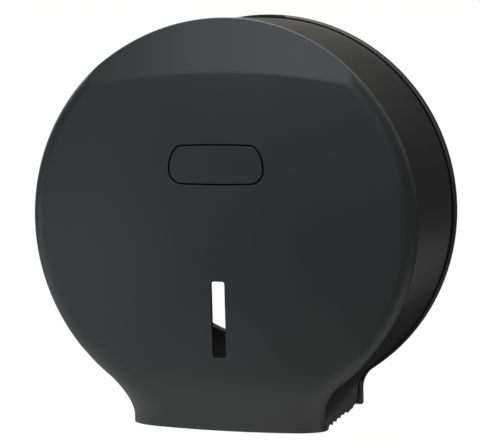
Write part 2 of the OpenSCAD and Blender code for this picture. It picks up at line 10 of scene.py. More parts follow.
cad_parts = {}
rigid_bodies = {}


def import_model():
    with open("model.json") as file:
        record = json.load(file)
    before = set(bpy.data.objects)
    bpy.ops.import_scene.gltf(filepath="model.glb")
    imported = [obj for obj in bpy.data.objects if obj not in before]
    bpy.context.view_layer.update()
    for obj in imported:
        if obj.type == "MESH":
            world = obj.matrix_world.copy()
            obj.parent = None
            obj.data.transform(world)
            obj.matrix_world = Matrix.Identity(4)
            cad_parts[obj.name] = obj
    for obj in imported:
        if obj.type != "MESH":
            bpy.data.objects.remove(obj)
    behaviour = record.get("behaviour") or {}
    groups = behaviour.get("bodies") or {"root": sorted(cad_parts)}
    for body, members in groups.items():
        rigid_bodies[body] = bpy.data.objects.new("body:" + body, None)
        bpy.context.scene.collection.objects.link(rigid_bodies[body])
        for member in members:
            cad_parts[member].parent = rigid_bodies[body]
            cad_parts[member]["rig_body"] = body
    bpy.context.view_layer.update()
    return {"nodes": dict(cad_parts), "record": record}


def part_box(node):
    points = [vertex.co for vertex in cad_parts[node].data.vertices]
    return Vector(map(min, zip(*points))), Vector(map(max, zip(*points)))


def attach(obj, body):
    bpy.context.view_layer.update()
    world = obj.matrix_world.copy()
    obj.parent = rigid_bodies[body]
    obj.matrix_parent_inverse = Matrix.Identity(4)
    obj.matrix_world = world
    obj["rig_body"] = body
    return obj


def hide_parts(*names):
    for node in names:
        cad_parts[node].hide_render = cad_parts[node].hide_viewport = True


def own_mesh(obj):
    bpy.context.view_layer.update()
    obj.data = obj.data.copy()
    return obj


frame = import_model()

MM = 0.001


def cad_box(node):
    """Lowest and highest corner of a CAD node, in millimetres."""
    low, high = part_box(node)
    return np.array(low) / MM, np.array(high) / MM


# ---------------------------------------------------------------- sizes, from the frame where it states them
cover_low, cover_high = cad_box("cover_shell")
COVER_R = cover_high[0] - 0.2
DEPTH = -cover_low[1]
SEAM_OUT = -cover_high[1]
LIP_DROP = -cover_low[2]
WALL = 2.6
NECK_W = 67.3
REAR_FILLET = 17.0
FRONT_FILLET = 36.0
LEAN = -0.1  # how much further in the side wall is at the front than at the back; it widens a little
EDGE = 0.4

# Front face: a dome with a brow that tilts back at the top and a chin that tilts back at the throat
DOME_R = 2050.0
BROW_UP = 97.8
BROW_TILT = math.tan(math.radians(19))
BROW_R = 870.0
BROW_BLEND = 0.45
BROW_EDGE_R = 0.8
CHIN_DROP = 107.0
CHIN_TILT = math.tan(math.radians(8.7))
CHIN_R = 1700.0
CHIN_BLEND = 0.7
LIP_BOW_R = 700.0

# Round edge between front face and side wall. Radii are measured along the face; EDGE_DEPTH is the edge's depth
# as a share of them.
EDGE_R = 9.5
EDGE_DEPTH = 0.5
CORNER_R = 19.0
CORNER_RUN = 26.0
CREASE = 24.0
CREASE_LOW = -5.0
CREASE_HIGH = 62.0
CREASE_FADE = 14.0

# Lower edge of the side walls: hinge heel, ramp and tear teeth
PIVOT_OUT = 22.0
PIVOT_DROP = 127.5
HEEL_R = 7.0
NOTCH_R = 10.0
TOOTH_DROP = 138.2
TOOTH_FRONT = 90.0
TOOTH_PITCH = 9.6
TOOTH_GAPS = 5
TOOTH_DEPTH = 2.5
TOOTH_SLOPE = 0.025
RAMP_END = TOOTH_FRONT - TOOTH_GAPS * TOOTH_PITCH
LIP_RISE = LIP_DROP - TOOTH_DROP

# Openings in the cover
SLOT_W = 4.6
SLOT_TOP = 38.6
SLOT_BOTTOM = 89.0
SLOT_CORNER = 1.5
KEY_W = 15.5
KEY_OUT = 10.0
BADGE_W = 31.8
BADGE_LOW = 26.3
BADGE_HIGH = 49.3
BADGE_TOP_R = 14.0
BADGE_FOOT_R = 8.0
BADGE_TOP_TURN = math.radians(56)
BADGE_TAPER = 0.4
BADGE_BOW = 0.067
BADGE_GAP = 1.1
BADGE_FLOOR = 111.8
BADGE_ROUND = 0.3

# Painted shade on the walls and floors of the openings in the front face: a darker, duller plastic stands in
# for the shade in them. The depths below the face between which they lie, how far a face may look towards the
# wall, and half the width and the lowest and highest place of each opening
RECESS_SKIN = 0.25
RECESS_DEPTH = 4.0
RECESS_FACING = 0.5
BADGE_ZONE = (BADGE_W + BADGE_GAP + 0.5, BADGE_LOW - BADGE_GAP - 1.5, BADGE_HIGH + BADGE_GAP + 1.5)
SLOT_ZONE = (SLOT_W + EDGE, -SLOT_BOTTOM - EDGE, EDGE - SLOT_TOP)

# Inside of the cover and of the latch
EAR_IN = 61.0
EAR_END = NECK_W - WALL + 0.3
EAR_R = 8.0
EAR_EDGE = 0.4
BUSH_R = 4.0
HEEL_LEN = 10.0
HEEL_HALF_W = 3.0
HEEL_CORNER = 0.7
BOSS_HALF_W = 14.5
BOSS_BACK = 24.0
BOSS_FRONT = 38.0
BOSS_LOW = 121.2
BOSS_HIGH = 130.6
BOSS_CORNER = 1.5
PEG_R = 1.5
PEG_X = 18.0
PEG_UP = 38.0
PEG_END = 107.0
WIRE_R = 0.3
SPRING_TURNS = 7

# Chamfer on the bead around the back plate's rim: its edges lie outside a radius and above a height, and
# the last number is its width
BEAD = (134.5, 5.7, 1.0)


# ---------------------------------------------------------------- the front face as a height over x, z
def soft_min(a, b, k):
    """The smaller of a and b, blended where they differ by less than k."""
    h = np.maximum(k - np.abs(a - b), 0) / k
    return np.minimum(a, b) - h * h * k / 4


def dome(x, z):
    """Distance of the shallow dome from the wall."""
    return DEPTH - (x * x + z * z) / (2 * DOME_R)


def smooth(t):
    """A smooth step from 0 to 1."""
    t = np.clip(t, 0, 1)
    return t * t * (3 - 2 * t)


def face_out(x, z):
    """Distance from the wall of the face below the brow: the dome and the chin."""
    below = np.maximum(-z - CHIN_DROP, 0)
    bow = smooth(below / (LIP_DROP - CHIN_DROP))
    curve = (1 - bow) / (2 * CHIN_R) + bow / (2 * LIP_BOW_R)
    chin = dome(0, CHIN_DROP) - CHIN_TILT * (-z - CHIN_DROP) - x * x * curve
    return soft_min(dome(x, z), chin, CHIN_BLEND)


def brow_out(x, z):
    """Distance from the wall of the brow."""
    return dome(0, BROW_UP) - BROW_TILT * (z - BROW_UP) - x * x / (2 * BROW_R)


def front_out(x, z):
    """Distance of the front face from the wall."""
    return soft_min(face_out(x, z), brow_out(x, z), BROW_BLEND)


def slopes(height, x, z, step=0.05):
    """Outward vector of a height field, not yet of unit length."""
    slope_x = (height(x + step, z) - height(x - step, z)) / (2 * step)
    slope_z = (height(x, z + step) - height(x, z - step)) / (2 * step)
    return np.stack([-slope_x, -np.ones_like(slope_x), -slope_z], -1)


def unit(v):
    return v / np.linalg.norm(v, axis=-1, keepdims=True)


def front_normal(x, z):
    return unit(slopes(front_out, x, z))


def brow_line(x):
    """Height of the kink between face and brow at x."""
    z = BROW_UP
    for _ in range(4):
        z -= (dome(x, z) - brow_out(x, z)) / (BROW_TILT - z / DOME_R)
    return z


def rounding(deep, r):
    """Drop below the face and steepness of a round edge of radius r, at a distance deep from the side wall."""
    side = max(r - deep, 0)
    along = math.sqrt(max(r * r - side * side, 1e-6 * r * r))
    return (r - along, side / along)


def edge_out(at, n, deep, drop, steep, inset):
    """Height and normal of the rounded edge, deep millimetres in from the side wall with outward normal n.

    drop and steep are the round edge's drop below the face and its steepness there.
    """
    drop_brow, steep_brow = rounding(deep, max(BROW_EDGE_R - inset, EDGE))
    x, z = np.array(at[0]), np.array(at[1])
    face = float(face_out(x, z)) - inset - drop
    brow = float(brow_out(x, z)) - inset - drop_brow
    h = max(BROW_BLEND - abs(face - brow), 0) / BROW_BLEND
    share = 1 - h / 2 if brow < face else h / 2
    side = np.array([n[0], 0, n[1]])
    normal = (1 - share) * (slopes(face_out, x, z) + steep * side)
    normal += share * (slopes(brow_out, x, z) + steep_brow * side)
    return float(soft_min(face, brow, BROW_BLEND)), unit(normal)


# ---------------------------------------------------------------- outlines
def web(fillet):
    """Centre of the hollow corner between drum and neck, and the angle at which it leaves the drum."""
    x = NECK_W + fillet
    drop = math.sqrt((COVER_R + fillet) ** 2 - x ** 2)
    return x, drop, -math.atan2(drop, x)


WEB_DROP, TANGENT = web(FRONT_FILLET)[1:]
FILLET_RUN = FRONT_FILLET * -TANGENT
NECK_UNIT = 10.0


def on_drum(a, inset):
    """Point and normal on the drum at an angle."""
    n = np.array([math.cos(a), math.sin(a)])
    return n * (COVER_R - inset), n


def drum_point(u, inset):
    """Point and normal on the drum outline, u from 0 at the hollow corner to 1 at the top."""
    return on_drum(TANGENT + u * (math.pi / 2 - TANGENT), inset)


def neck_point(v, inset, fillet):
    """Point and normal on the neck outline whose hollow corner has the radius fillet.

    v runs from 0 at the drum to 1 at the end of the hollow corner, and then on down the straight side.
    """
    x, drop, tangent = web(fillet)
    drum_run = COVER_R * (TANGENT - tangent)
    run = min(v, 1) * (drum_run + fillet * -tangent)
    if run < drum_run:
        return on_drum(TANGENT - run / COVER_R, inset)
    b = tangent + math.pi + (run - drum_run) / fillet
    toward = np.array([math.cos(b), math.sin(b)])
    p = np.array([x, -drop]) + toward * (fillet + inset)
    p[1] -= max(v - 1, 0) * NECK_UNIT
    return p, -toward


def edge_shape(path, inset):
    """Radius of the front edge, and the angle by which it falls short of the side wall's tangent.

    path is the distance along the outline above the neck's straight side. The edge is creased
    where the hollow corner meets it, and as wide there as an edge of radius CORNER_R.
    """
    wide = CORNER_R + (EDGE_R - CORNER_R) * float(smooth(path / CORNER_RUN))
    share = float(smooth((path - CREASE_LOW) / CREASE_FADE) * smooth((CREASE_HIGH - path) / CREASE_FADE))
    crease = math.radians(CREASE * share)
    return (wide - inset) / (1 - math.sin(crease)), crease


def lower_edge(out):
    """Height of the side wall's lower edge at a distance from the wall."""
    tips = -TOOTH_DROP + TOOTH_SLOPE * (TOOTH_FRONT - out)
    if out > RAMP_END:
        along = (TOOTH_FRONT - out) % TOOTH_PITCH - TOOTH_PITCH / 2
        return tips + TOOTH_DEPTH * math.sqrt(max(1 - (2 * along / TOOTH_PITCH) ** 2, 0))
    if out > PIVOT_OUT:
        heel = -PIVOT_DROP - HEEL_R
        last_tip = -TOOTH_DROP + TOOTH_SLOPE * (TOOTH_FRONT - RAMP_END)
        return last_tip + (heel - last_tip) * (RAMP_END - out) / (RAMP_END - PIVOT_OUT)
    if out > PIVOT_OUT - HEEL_R:
        return -PIVOT_DROP - math.sqrt(HEEL_R ** 2 - (PIVOT_OUT - out) ** 2)
    middle = PIVOT_OUT - HEEL_R - NOTCH_R
    return -PIVOT_DROP + math.sqrt(max(NOTCH_R ** 2 - (out - middle) ** 2, 0))


def lip_edge(x):
    """Height of the front lip's lower edge at x."""
    return -LIP_DROP + LIP_RISE * (x / NECK_W) ** 2


def arc(centre, r, start, end, steps):
    """Points on an arc, angles in degrees, both ends included."""
    return [
        (centre[0] + r * math.cos(a), centre[1] + r * math.sin(a))
        for a in np.radians(np.linspace(start, end, steps + 1))
    ]


def badge_half(grow):
    """Right half of the badge outline from the bottom middle to the top middle, grown by grow."""
    top = (BADGE_W - BADGE_TOP_R - BADGE_TAPER, BADGE_HIGH - BADGE_TOP_R * math.sin(BADGE_TOP_TURN))
    foot = (BADGE_W - BADGE_FOOT_R, BADGE_LOW + BADGE_FOOT_R)
    lean = math.degrees(math.atan2(foot[0] - top[0], top[1] - foot[1]))
    side = lean - math.degrees(math.asin((BADGE_TOP_R - BADGE_FOOT_R) / math.dist(top, foot)))
    low, high = BADGE_LOW - grow, BADGE_HIGH + grow
    bottom = [(x, low) for x in np.linspace(0, foot[0], 11)[:-1]]
    top_end = math.asin((high - top[1]) / (BADGE_TOP_R + grow))
    upper = [(x, high) for x in np.linspace(top[0] + (BADGE_TOP_R + grow) * math.cos(top_end), 0, 16)[1:]]
    foot_arc = arc(foot, BADGE_FOOT_R + grow, -90, side, 12)
    top_arc = arc(top, BADGE_TOP_R + grow, side, math.degrees(top_end), 12)
    outline = np.array(bottom + foot_arc + top_arc + upper)
    middle = (BADGE_LOW + BADGE_HIGH) / 2
    outline[:, 1] += BADGE_BOW * (outline[:, 1] - middle) * (1 - (outline[:, 0] / BADGE_W) ** 2)
    return outline


def slot_half(grow):
    """Right half of the viewing slot from the bottom middle to the top middle, grown by grow."""
    w, c = SLOT_W - SLOT_CORNER, SLOT_CORNER + grow
    low = arc((w, SLOT_CORNER - SLOT_BOTTOM), c, -90, 0, 5)
    high = arc((w, -SLOT_TOP - SLOT_CORNER), c, 0, 90, 5)
    side = [(SLOT_W + grow, z) for z in np.linspace(low[-1][1], high[0][1], 12)[1:-1]]
    start, end = [(0, low[0][1]), (w / 2, low[0][1])], [(w / 2, high[-1][1]), (0, high[-1][1])]
    return np.array(start + low + side + high + end)


# ---------------------------------------------------------------- meshes with their own normals
class Shell:
    """Points with normals and faces, collected patch by patch, and written as one mesh."""

    def __init__(self):
        self.points, self.normals, self.faces = [], [], []

    def add(self, points, normals, faces):
        """Adds a patch. Its faces are turned to agree with the normals."""
        start = len(self.points)
        points, normals = np.asarray(points), np.asarray(normals)
        self.points += [tuple(p) for p in points]
        self.normals += [tuple(n) for n in normals]
        for f in faces:
            corner = points[list(f)]
            turned = np.cross(corner[2] - corner[0], corner[-1] - corner[1]) @ normals[list(f)].mean(0) < 0
            self.faces.append(tuple(start + i for i in (f[::-1] if turned else f)))

    def mirrored(self):
        """Adds the left half, a mirror image of what is there."""
        start = len(self.points)
        self.points += [(-x, y, z) for x, y, z in self.points]
        self.normals += [(-x, y, z) for x, y, z in self.normals]
        self.faces += [tuple(start + i for i in f[::-1]) for f in list(self.faces)]
        return self

    def object(self, name, weld=0.002):
        """The mesh object in metres, with points of equal place and normal joined."""
        key_of, where = {}, []
        points, normals = [], []
        for p, n in zip(self.points, self.normals):
            key = tuple(round(c / weld) for c in p) + tuple(round(c, 2) for c in n)
            if key not in key_of:
                key_of[key] = len(points)
                points.append(p)
                normals.append(n)
            where.append(key_of[key])
        faces = []
        for f in self.faces:
            f = [where[i] for i in f]
            f = [i for k, i in enumerate(f) if i != f[k - 1]]
            if len(f) > 2:
                faces.append(f)
        mesh = bpy.data.meshes.new(name)
        mesh.from_pydata([Vector(p) * MM for p in points], [], faces)
        mesh.polygons.foreach_set("use_smooth", [True] * len(mesh.polygons))
        mesh.normals_split_custom_set_from_vertices([Vector(n).normalized() for n in normals])
        obj = bpy.data.objects.new(name, mesh)
        bpy.context.scene.collection.objects.link(obj)
        return obj


def grid_faces(rows, cols, skip=lambda i, j: False):
    """Faces of a grid of points stored row by row."""
    return [
        (i * cols + j, i * cols + j + 1, (i + 1) * cols + j + 1, (i + 1) * cols + j)
        for i in range(rows - 1) for j in range(cols - 1) if not skip(i, j)
    ]


def at_front(points, sink=0.0):
    """3-D points of x, z pairs on the front face, sunk towards the wall by sink."""
    x, z = points[:, 0], points[:, 1]
    return np.stack([x, sink - front_out(x, z), z], -1)


CLEAR = 2.2


def filled(outline, lines=(), spacing=5.0):
    """Triangles inside a closed outline of x, z pairs, with points on given lines and on an even grid.

    Grid points stay CLEAR away from the outline and the lines.
    """
    outline = np.asarray(outline)
    low, high = outline.min(0), outline.max(0)
    rows = np.arange(low[1], high[1], spacing * 0.87)
    inner = [
        (x + (k % 2) * spacing / 2, z)
        for k, z in enumerate(rows) for x in np.arange(low[0], high[0], spacing)
    ]
    kept = np.array(inner)
    edge = np.concatenate([outline, *lines]) if len(lines) else outline
    far = np.array([np.hypot(*(edge - p).T).min() > CLEAR for p in kept])
    points = [Vector(p) for p in outline]
    edges = []
    for line in lines:
        edges += [(len(points) + i, len(points) + i + 1) for i in range(len(line) - 1)]
        points += [Vector(p) for p in line]
    points += [Vector(p) for p in kept[far]]
    got = delaunay_2d_cdt(points, edges, [list(range(len(outline)))], 1, 1e-5)
    return np.array([tuple(p) for p in got[0]]), [tuple(f) for f in got[2]]


def rim(points, normals, inner_points, inner_normals, r, side=1):
    """Strip with rounded corners that joins the edge of an outer skin to the edge of an inner one."""
    p, n = np.asarray(points), np.asarray(normals)
    q, m = np.asarray(inner_points), np.asarray(inner_normals)
    step = np.roll(p, -1, 0) - np.roll(p, 1, 0)
    step[0], step[-1] = p[1] - p[0], p[-1] - p[-2]
    away = side * np.cross(step, n)
    away /= np.linalg.norm(away, axis=1, keepdims=True)
    rows, row_normals = [], []
    for a in np.radians([0, 30, 60, 90]):
        rows.append(p + r * math.sin(a) * away - r * (1 - math.cos(a)) * n)
        row_normals.append(math.cos(a) * n + math.sin(a) * away)
    for a in np.radians([90, 60, 30, 0]):
        rows.append(q + r * math.sin(a) * away - r * (1 - math.cos(a)) * m)
        row_normals.append(math.cos(a) * m + math.sin(a) * away)
    return np.concatenate(rows), np.concatenate(row_normals), grid_faces(len(rows), len(p))


def lofted(shell, rows, cap=False):
    """Adds the skin between closed loops, each given as points and normals, and a flat end on the last one."""
    count = len(rows[0][0])
    faces = grid_faces(len(rows), count)
    faces += [
        (i * count + count - 1, i * count, (i + 1) * count, (i + 1) * count + count - 1)
        for i in range(len(rows) - 1)
    ]
    shell.add(np.concatenate([r[0] for r in rows]), np.concatenate([r[1] for r in rows]), faces)
    if cap:
        shell.add(*rows[-1], [tuple(range(count))])


def raised(plan, plan_n, place, foot, top, r, steps=4):
    """Loops of a boss with a rounded top edge, from foot to top along place's third coordinate.

    place turns the plan's two coordinates and a height into a point or a direction of the frame.
    """
    plan, plan_n = np.asarray(plan), np.asarray(plan_n)
    rise = 1 if top > foot else -1
    flat = np.zeros(len(plan))
    rows = [(place(plan, flat + foot), place(plan_n, flat))]
    for a in np.radians(np.linspace(0, 90, steps + 1)):
        height = flat + top - rise * r * (1 - math.sin(a))
        normal = place(plan_n * math.cos(a), flat + rise * math.sin(a))
        rows.append((place(plan - plan_n * r * (1 - math.cos(a)), height), normal))
    return rows


def rounded_box(half_w, low, high, r, steps=5):
    """Plan outline of a rectangle with round corners, with its normals."""
    points, normals = [], []
    x, top, bottom = half_w - r, high - r, low + r
    for x, y, start in ((x, top, 0), (-x, top, 90), (-x, bottom, 180), (x, bottom, 270)):
        for a in np.radians(np.linspace(start, start + 90, steps)):
            normals.append((math.cos(a), math.sin(a)))
            points.append((x + r * math.cos(a), y + r * math.sin(a)))
    return points, normals


# ---------------------------------------------------------------- cover
DRUM_STEPS = 230
NECK_STEPS = 26
ROUND_STEPS = 16
TOOTH_STEPS = 10
FIRST_OUT = SEAM_OUT + EDGE
DRUM_RUN = (math.pi / 2 - TANGENT) * COVER_R


def side_point(rear, fore, w, path, inset):
    """Point and normal on the cover's side, between a point of the rear outline and one of the front outline.

    Both are given with their normals. w runs from 0 at the rear edge through 1, where the round front edge
    starts, to 2, where it ends.
    """
    p, n = fore
    radius, crease = edge_shape(path, inset)
    turn = crease + (math.pi / 2 - crease) * max(w - 1, 0)
    deep = radius * (math.cos(crease) - math.cos(turn))
    front = p - n * (LEAN + deep)
    steep = EDGE_DEPTH / max(math.tan(turn), 1e-3)
    out, normal = edge_out(front, n, deep, radius * EDGE_DEPTH * (1 - math.sin(turn)), steep, inset)
    if w > 1:
        return np.array([front[0], -out, front[1]]), normal
    share = float(smooth(w))
    share_slope = 6 * w * (1 - w)
    rise = share_slope * float((p - rear[0]) @ n) / (out - FIRST_OUT)
    out = FIRST_OUT + w * (out - FIRST_OUT)
    n = unit(rear[1] + share * (n - rear[1]))
    at = rear[0] + share * (p - rear[0]) - n * LEAN * w
    return np.array([at[0], -out, at[1]]), unit(np.array([n[0], rise - LEAN / DEPTH, n[1]]))


def neck_side(v, w, inset):
    """Point and normal on the side of the neck, whose hollow corner is wider at the front than at the back."""
    path = (1 - v) * (FILLET_RUN if v < 1 else NECK_UNIT)
    return side_point(neck_point(v, inset, REAR_FILLET), neck_point(v, inset, FRONT_FILLET), w, path, inset)


def drum_side(u, w, inset):
    """Point and normal on the side of the drum."""
    at = drum_point(u, inset)
    return side_point(at, at, w, FILLET_RUN + u * DRUM_RUN, inset)


def bisect(test, low, high):
    """The place between low and high at which test stops being true."""
    for _ in range(40):
        middle = (low + high) / 2
        low, high = (middle, high) if test(middle) else (low, middle)
    return low


def lowest(w, inset):
    """The neck position at which a side line meets the lower edge of the cover."""
    def above(v):
        x, y, z = neck_side(v, w, inset)[0]
        return z > (lower_edge(-y) if -y < TOOTH_FRONT else lip_edge(x)) + EDGE
    return bisect(above, 0.0, 4.0)


HEEL_MARKS = [7.5, 9.6, 11.5, 13.2, 14.2, 14.8, 15.0, 15.3, 16, 17.2, 19, PIVOT_OUT, 28, 35]


def neck_lines():
    """Lines for the neck, placed so that the heel and each tooth get enough of them."""
    marks = HEEL_MARKS + [RAMP_END + TOOTH_PITCH * k / TOOTH_STEPS for k in range(TOOTH_STEPS * TOOTH_GAPS + 1)]
    at_tip = 1 + (TOOTH_DROP - WEB_DROP) / NECK_UNIT
    lines = [0.0] + [bisect(lambda w: -neck_side(at_tip, w, 0.0)[0][1] < m, 0.0, 2.0) for m in marks]
    lines += [1 + k / ROUND_STEPS for k in range(ROUND_STEPS + 1)]
    return np.array(sorted(set(lines)))


def key_line():
    """The line on the drum along the front edge of the key notch."""
    front = -drum_side(1.0, 1.0, 0.0)[0][1]
    return (KEY_OUT + EDGE - FIRST_OUT) / (front - FIRST_OUT)


NECK_LINES = neck_lines()
DRUM_LINES = np.array([0.0, key_line()] + [1 + k / ROUND_STEPS for k in range(ROUND_STEPS + 1)])


BROW_LINES = (-3.0, -1.5, -0.8, -0.4, 0.0, 0.4, 0.8, 1.5, 3.0)
CHIN_LINES = (-8.0, -5.0, -2.5, 0.0, 2.5, 5.0, 8.0)


def skin(inset):
    """One skin of the cover's right half, and the loops of points and normals around its openings."""
    shell = Shell()
    key_u = 1 - math.asin(KEY_W / COVER_R) / (math.pi / 2 - TANGENT)
    steps = sorted(u for u in np.linspace(0, 1, DRUM_STEPS + 1) if abs(u - key_u) > 0.4 / DRUM_STEPS)
    steps = sorted(steps + [key_u])
    key_row, key_col = steps.index(key_u), 1
    made = []
    for u in steps:
        made += [drum_side(u, w, inset) for w in DRUM_LINES]
    drum, drum_n = (np.array(part).reshape(len(steps), len(DRUM_LINES), 3) for part in zip(*made))
    cells = grid_faces(len(steps), len(DRUM_LINES), lambda i, j: i >= key_row and j < key_col)
    shell.add(drum.reshape(-1, 3), drum_n.reshape(-1, 3), cells)

    ends = [lowest(w, inset) for w in NECK_LINES]
    made = [
        neck_side(t * end, w, inset)
        for t in np.linspace(0, 1, NECK_STEPS + 1) for w, end in zip(NECK_LINES, ends)
    ]
    neck, neck_n = (np.array(part).reshape(NECK_STEPS + 1, len(NECK_LINES), 3) for part in zip(*made))
    shell.add(neck.reshape(-1, 3), neck_n.reshape(-1, 3), grid_faces(NECK_STEPS + 1, len(NECK_LINES)))

    # front face: along the lip, up the side, then down the middle around the badge and the slot
    side = np.concatenate([neck[::-1, -1], drum[1:, -1]])[:, [0, 2]]
    slot, badge = slot_half(EDGE), badge_half(BADGE_GAP + BADGE_ROUND)
    lip = np.array([(x, lip_edge(x) + EDGE) for x in np.linspace(0, side[0][0], 16)[:-1]])
    stops = [side[-1][1], slot[-1][1]] if inset else [side[-1][1], badge[-1][1], badge[0][1], slot[-1][1]]
    middle = [np.array([(0, z) for z in np.linspace(a, b, 14)[1:-1]]) for a, b in zip(stops[::2], stops[1::2])]
    if not inset:
        middle.insert(1, badge[::-1])
    middle += [slot[::-1], np.array([(0, z) for z in np.linspace(slot[0][1], lip[0][1], 14)[1:-1]])]
    kinks = []
    for offset in BROW_LINES:
        xs = [x for x in np.linspace(2.5, 120, 80) if inside(x, brow_line(x) + offset, side)]
        kinks.append(np.array([(x, brow_line(x) + offset) for x in xs]))
    for offset in CHIN_LINES:
        xs = [x for x in np.linspace(3, 80, 24) if inside(x, -CHIN_DROP + offset, side)]
        kinks.append(np.array([(x, -CHIN_DROP + offset) for x in xs]))
    flat, faces = filled(np.concatenate([lip, side, *middle]), lines=kinks)
    shell.add(at_front(flat, inset), front_normal(flat[:, 0], flat[:, 1]), faces)

    def along(rows):
        return np.concatenate([rows[-1:key_row:-1, key_col], rows[key_row, key_col:0:-1], rows[key_row::-1, 0]])

    loops = {
        "rear": (along(drum), along(drum_n)),
        "neck": (neck[1:, 0], neck_n[1:, 0]),
        "low": (neck[-1, 1:], neck_n[-1, 1:]),
    }
    for name, flat in (("lip", lip[::-1]), ("slot", slot), ("badge", badge)):
        loops[name] = (at_front(flat, inset), front_normal(flat[:, 0], flat[:, 1]))
    return shell, loops


def inside(x, z, side):
    """Is the point well inside the front face's outline, given its right side from bottom to top?"""
    near = np.hypot(side[:, 0] - x, side[:, 1] - z)
    k = int(near.argmin())
    return near[k] > CLEAR and x < np.interp(z, side[:, 1], side[:, 0])


def ear(shell):
    """Adds the right hinge ear: a round plate with the bush's hole, and the heel that stops the open cover."""
    half = [((0, -HEEL_LEN), (0, -1))]
    for a in np.radians(np.linspace(-90, 0, 5)):
        turn = np.array([math.cos(a), math.sin(a)])
        half.append((turn * HEEL_CORNER + (HEEL_HALF_W - HEEL_CORNER, HEEL_CORNER - HEEL_LEN), turn))
    start = -math.acos(HEEL_HALF_W / EAR_R)
    half.append((np.array([HEEL_HALF_W, EAR_R * math.sin(start) - EDGE / 4]), (1, 0)))
    for a in np.linspace(start + 0.01, math.pi / 2, 22):
        turn = np.array([math.cos(a), math.sin(a)])
        half.append((turn * EAR_R, turn))
    other = [((-p[0], p[1]), (-n[0], n[1])) for p, n in half[-2:0:-1]]
    plan, plan_n = (np.array(part) for part in zip(*half, *other))

    def place(flat, x):
        return np.stack([x, -flat[:, 0], flat[:, 1]], -1)

    pivot = np.array([0, -PIVOT_OUT, -PIVOT_DROP])
    rows = raised(plan, plan_n, place, EAR_END, EAR_IN, EAR_EDGE)
    hole_n = plan / np.linalg.norm(plan, axis=1, keepdims=True)
    flat = np.zeros(len(plan))
    rows.append((place(hole_n * BUSH_R, flat + EAR_IN), rows[-1][1]))
    lofted(shell, [(p + pivot, n) for p, n in rows])
    walls = [(place(hole_n * BUSH_R, flat + x) + pivot, place(-hole_n, flat)) for x in (EAR_IN, EAR_END)]
    lofted(shell, walls)


def keeper_boss(shell):
    """Adds the block under the top of the cover that the latch's keeper is screwed to."""
    def place(flat, z):
        return np.stack([flat[:, 0], -flat[:, 1], z], -1)

    plan = rounded_box(BOSS_HALF_W, BOSS_BACK, BOSS_FRONT, BOSS_CORNER)
    lofted(shell, raised(*plan, place, BOSS_HIGH, BOSS_LOW, EDGE), cap=True)


def cover_piece():
    """The whole cover: outer skin, inner skin, the edges between them and the recess for the badge."""
    shell, outer = skin(0.0)
    inner_shell, inner = skin(WALL)
    shell.add(inner_shell.points, -np.array(inner_shell.normals), inner_shell.faces)
    border = [np.concatenate([outer[k][i] for k in ("rear", "neck", "low", "lip")]) for i in (0, 1)]
    inner_border = [np.concatenate([inner[k][i] for k in ("rear", "neck", "low", "lip")]) for i in (0, 1)]
    points, normals, faces = rim(*border, inner_border[0], -inner_border[1], EDGE)
    shell.add(points, normals, faces)
    points, normals, faces = rim(*outer["slot"], inner["slot"][0], -inner["slot"][1], EDGE, side=-1)
    shell.add(points, normals, faces)

    # recess: rounded upper edge, wall and floor
    flat = badge_half(BADGE_GAP)
    floor = np.stack([flat[:, 0], np.full(len(flat), -BADGE_FLOOR), flat[:, 1]], -1)
    points, normals, faces = rim(*outer["badge"], floor, outer["badge"][1], BADGE_ROUND, side=-1)
    keep = len(flat) * 4
    points[keep:keep * 5 // 4] = floor
    shell.add(points[:keep * 5 // 4], normals[:keep * 5 // 4], grid_faces(5, len(flat)))
    flat, faces = filled(flat, spacing=6)
    points = np.stack([flat[:, 0], np.full(len(flat), -BADGE_FLOOR), flat[:, 1]], -1)
    shell.add(points, np.tile([0.0, -1.0, 0.0], (len(flat), 1)), faces)
    ear(shell)
    shell.mirrored()
    keeper_boss(shell)
    return shell.object("cover_moulding")


def badge_piece():
    """Blank badge panel with a rounded edge, flush with the face around it."""
    shell = Shell()
    edge = badge_half(-BADGE_ROUND)
    flat, faces = filled(edge, spacing=6)
    shell.add(at_front(flat), front_normal(flat[:, 0], flat[:, 1]), faces)
    top, top_n = at_front(edge), front_normal(edge[:, 0], edge[:, 1])
    foot = badge_half(0)
    floor = np.stack([foot[:, 0], np.full(len(foot), -BADGE_FLOOR), foot[:, 1]], -1)
    points, normals, faces = rim(top, top_n, floor, top_n, BADGE_ROUND)
    keep = len(foot) * 4
    points[keep:keep * 5 // 4] = floor
    shell.add(points[:keep * 5 // 4], normals[:keep * 5 // 4], grid_faces(5, len(foot)))
    turn = [(math.cos(a), math.sin(a)) for a in np.radians(np.arange(0, 360, 15))]

    def place(flat, y):
        return np.stack([flat[:, 0], y, flat[:, 1]], -1)

    rows = raised(np.array(turn) * PEG_R, turn, place, -BADGE_FLOOR, -PEG_END, EDGE)
    lofted(shell, [(p + (PEG_X, 0, PEG_UP), n) for p, n in rows], cap=True)
    shell.mirrored()
    return shell.object("badge_panel")


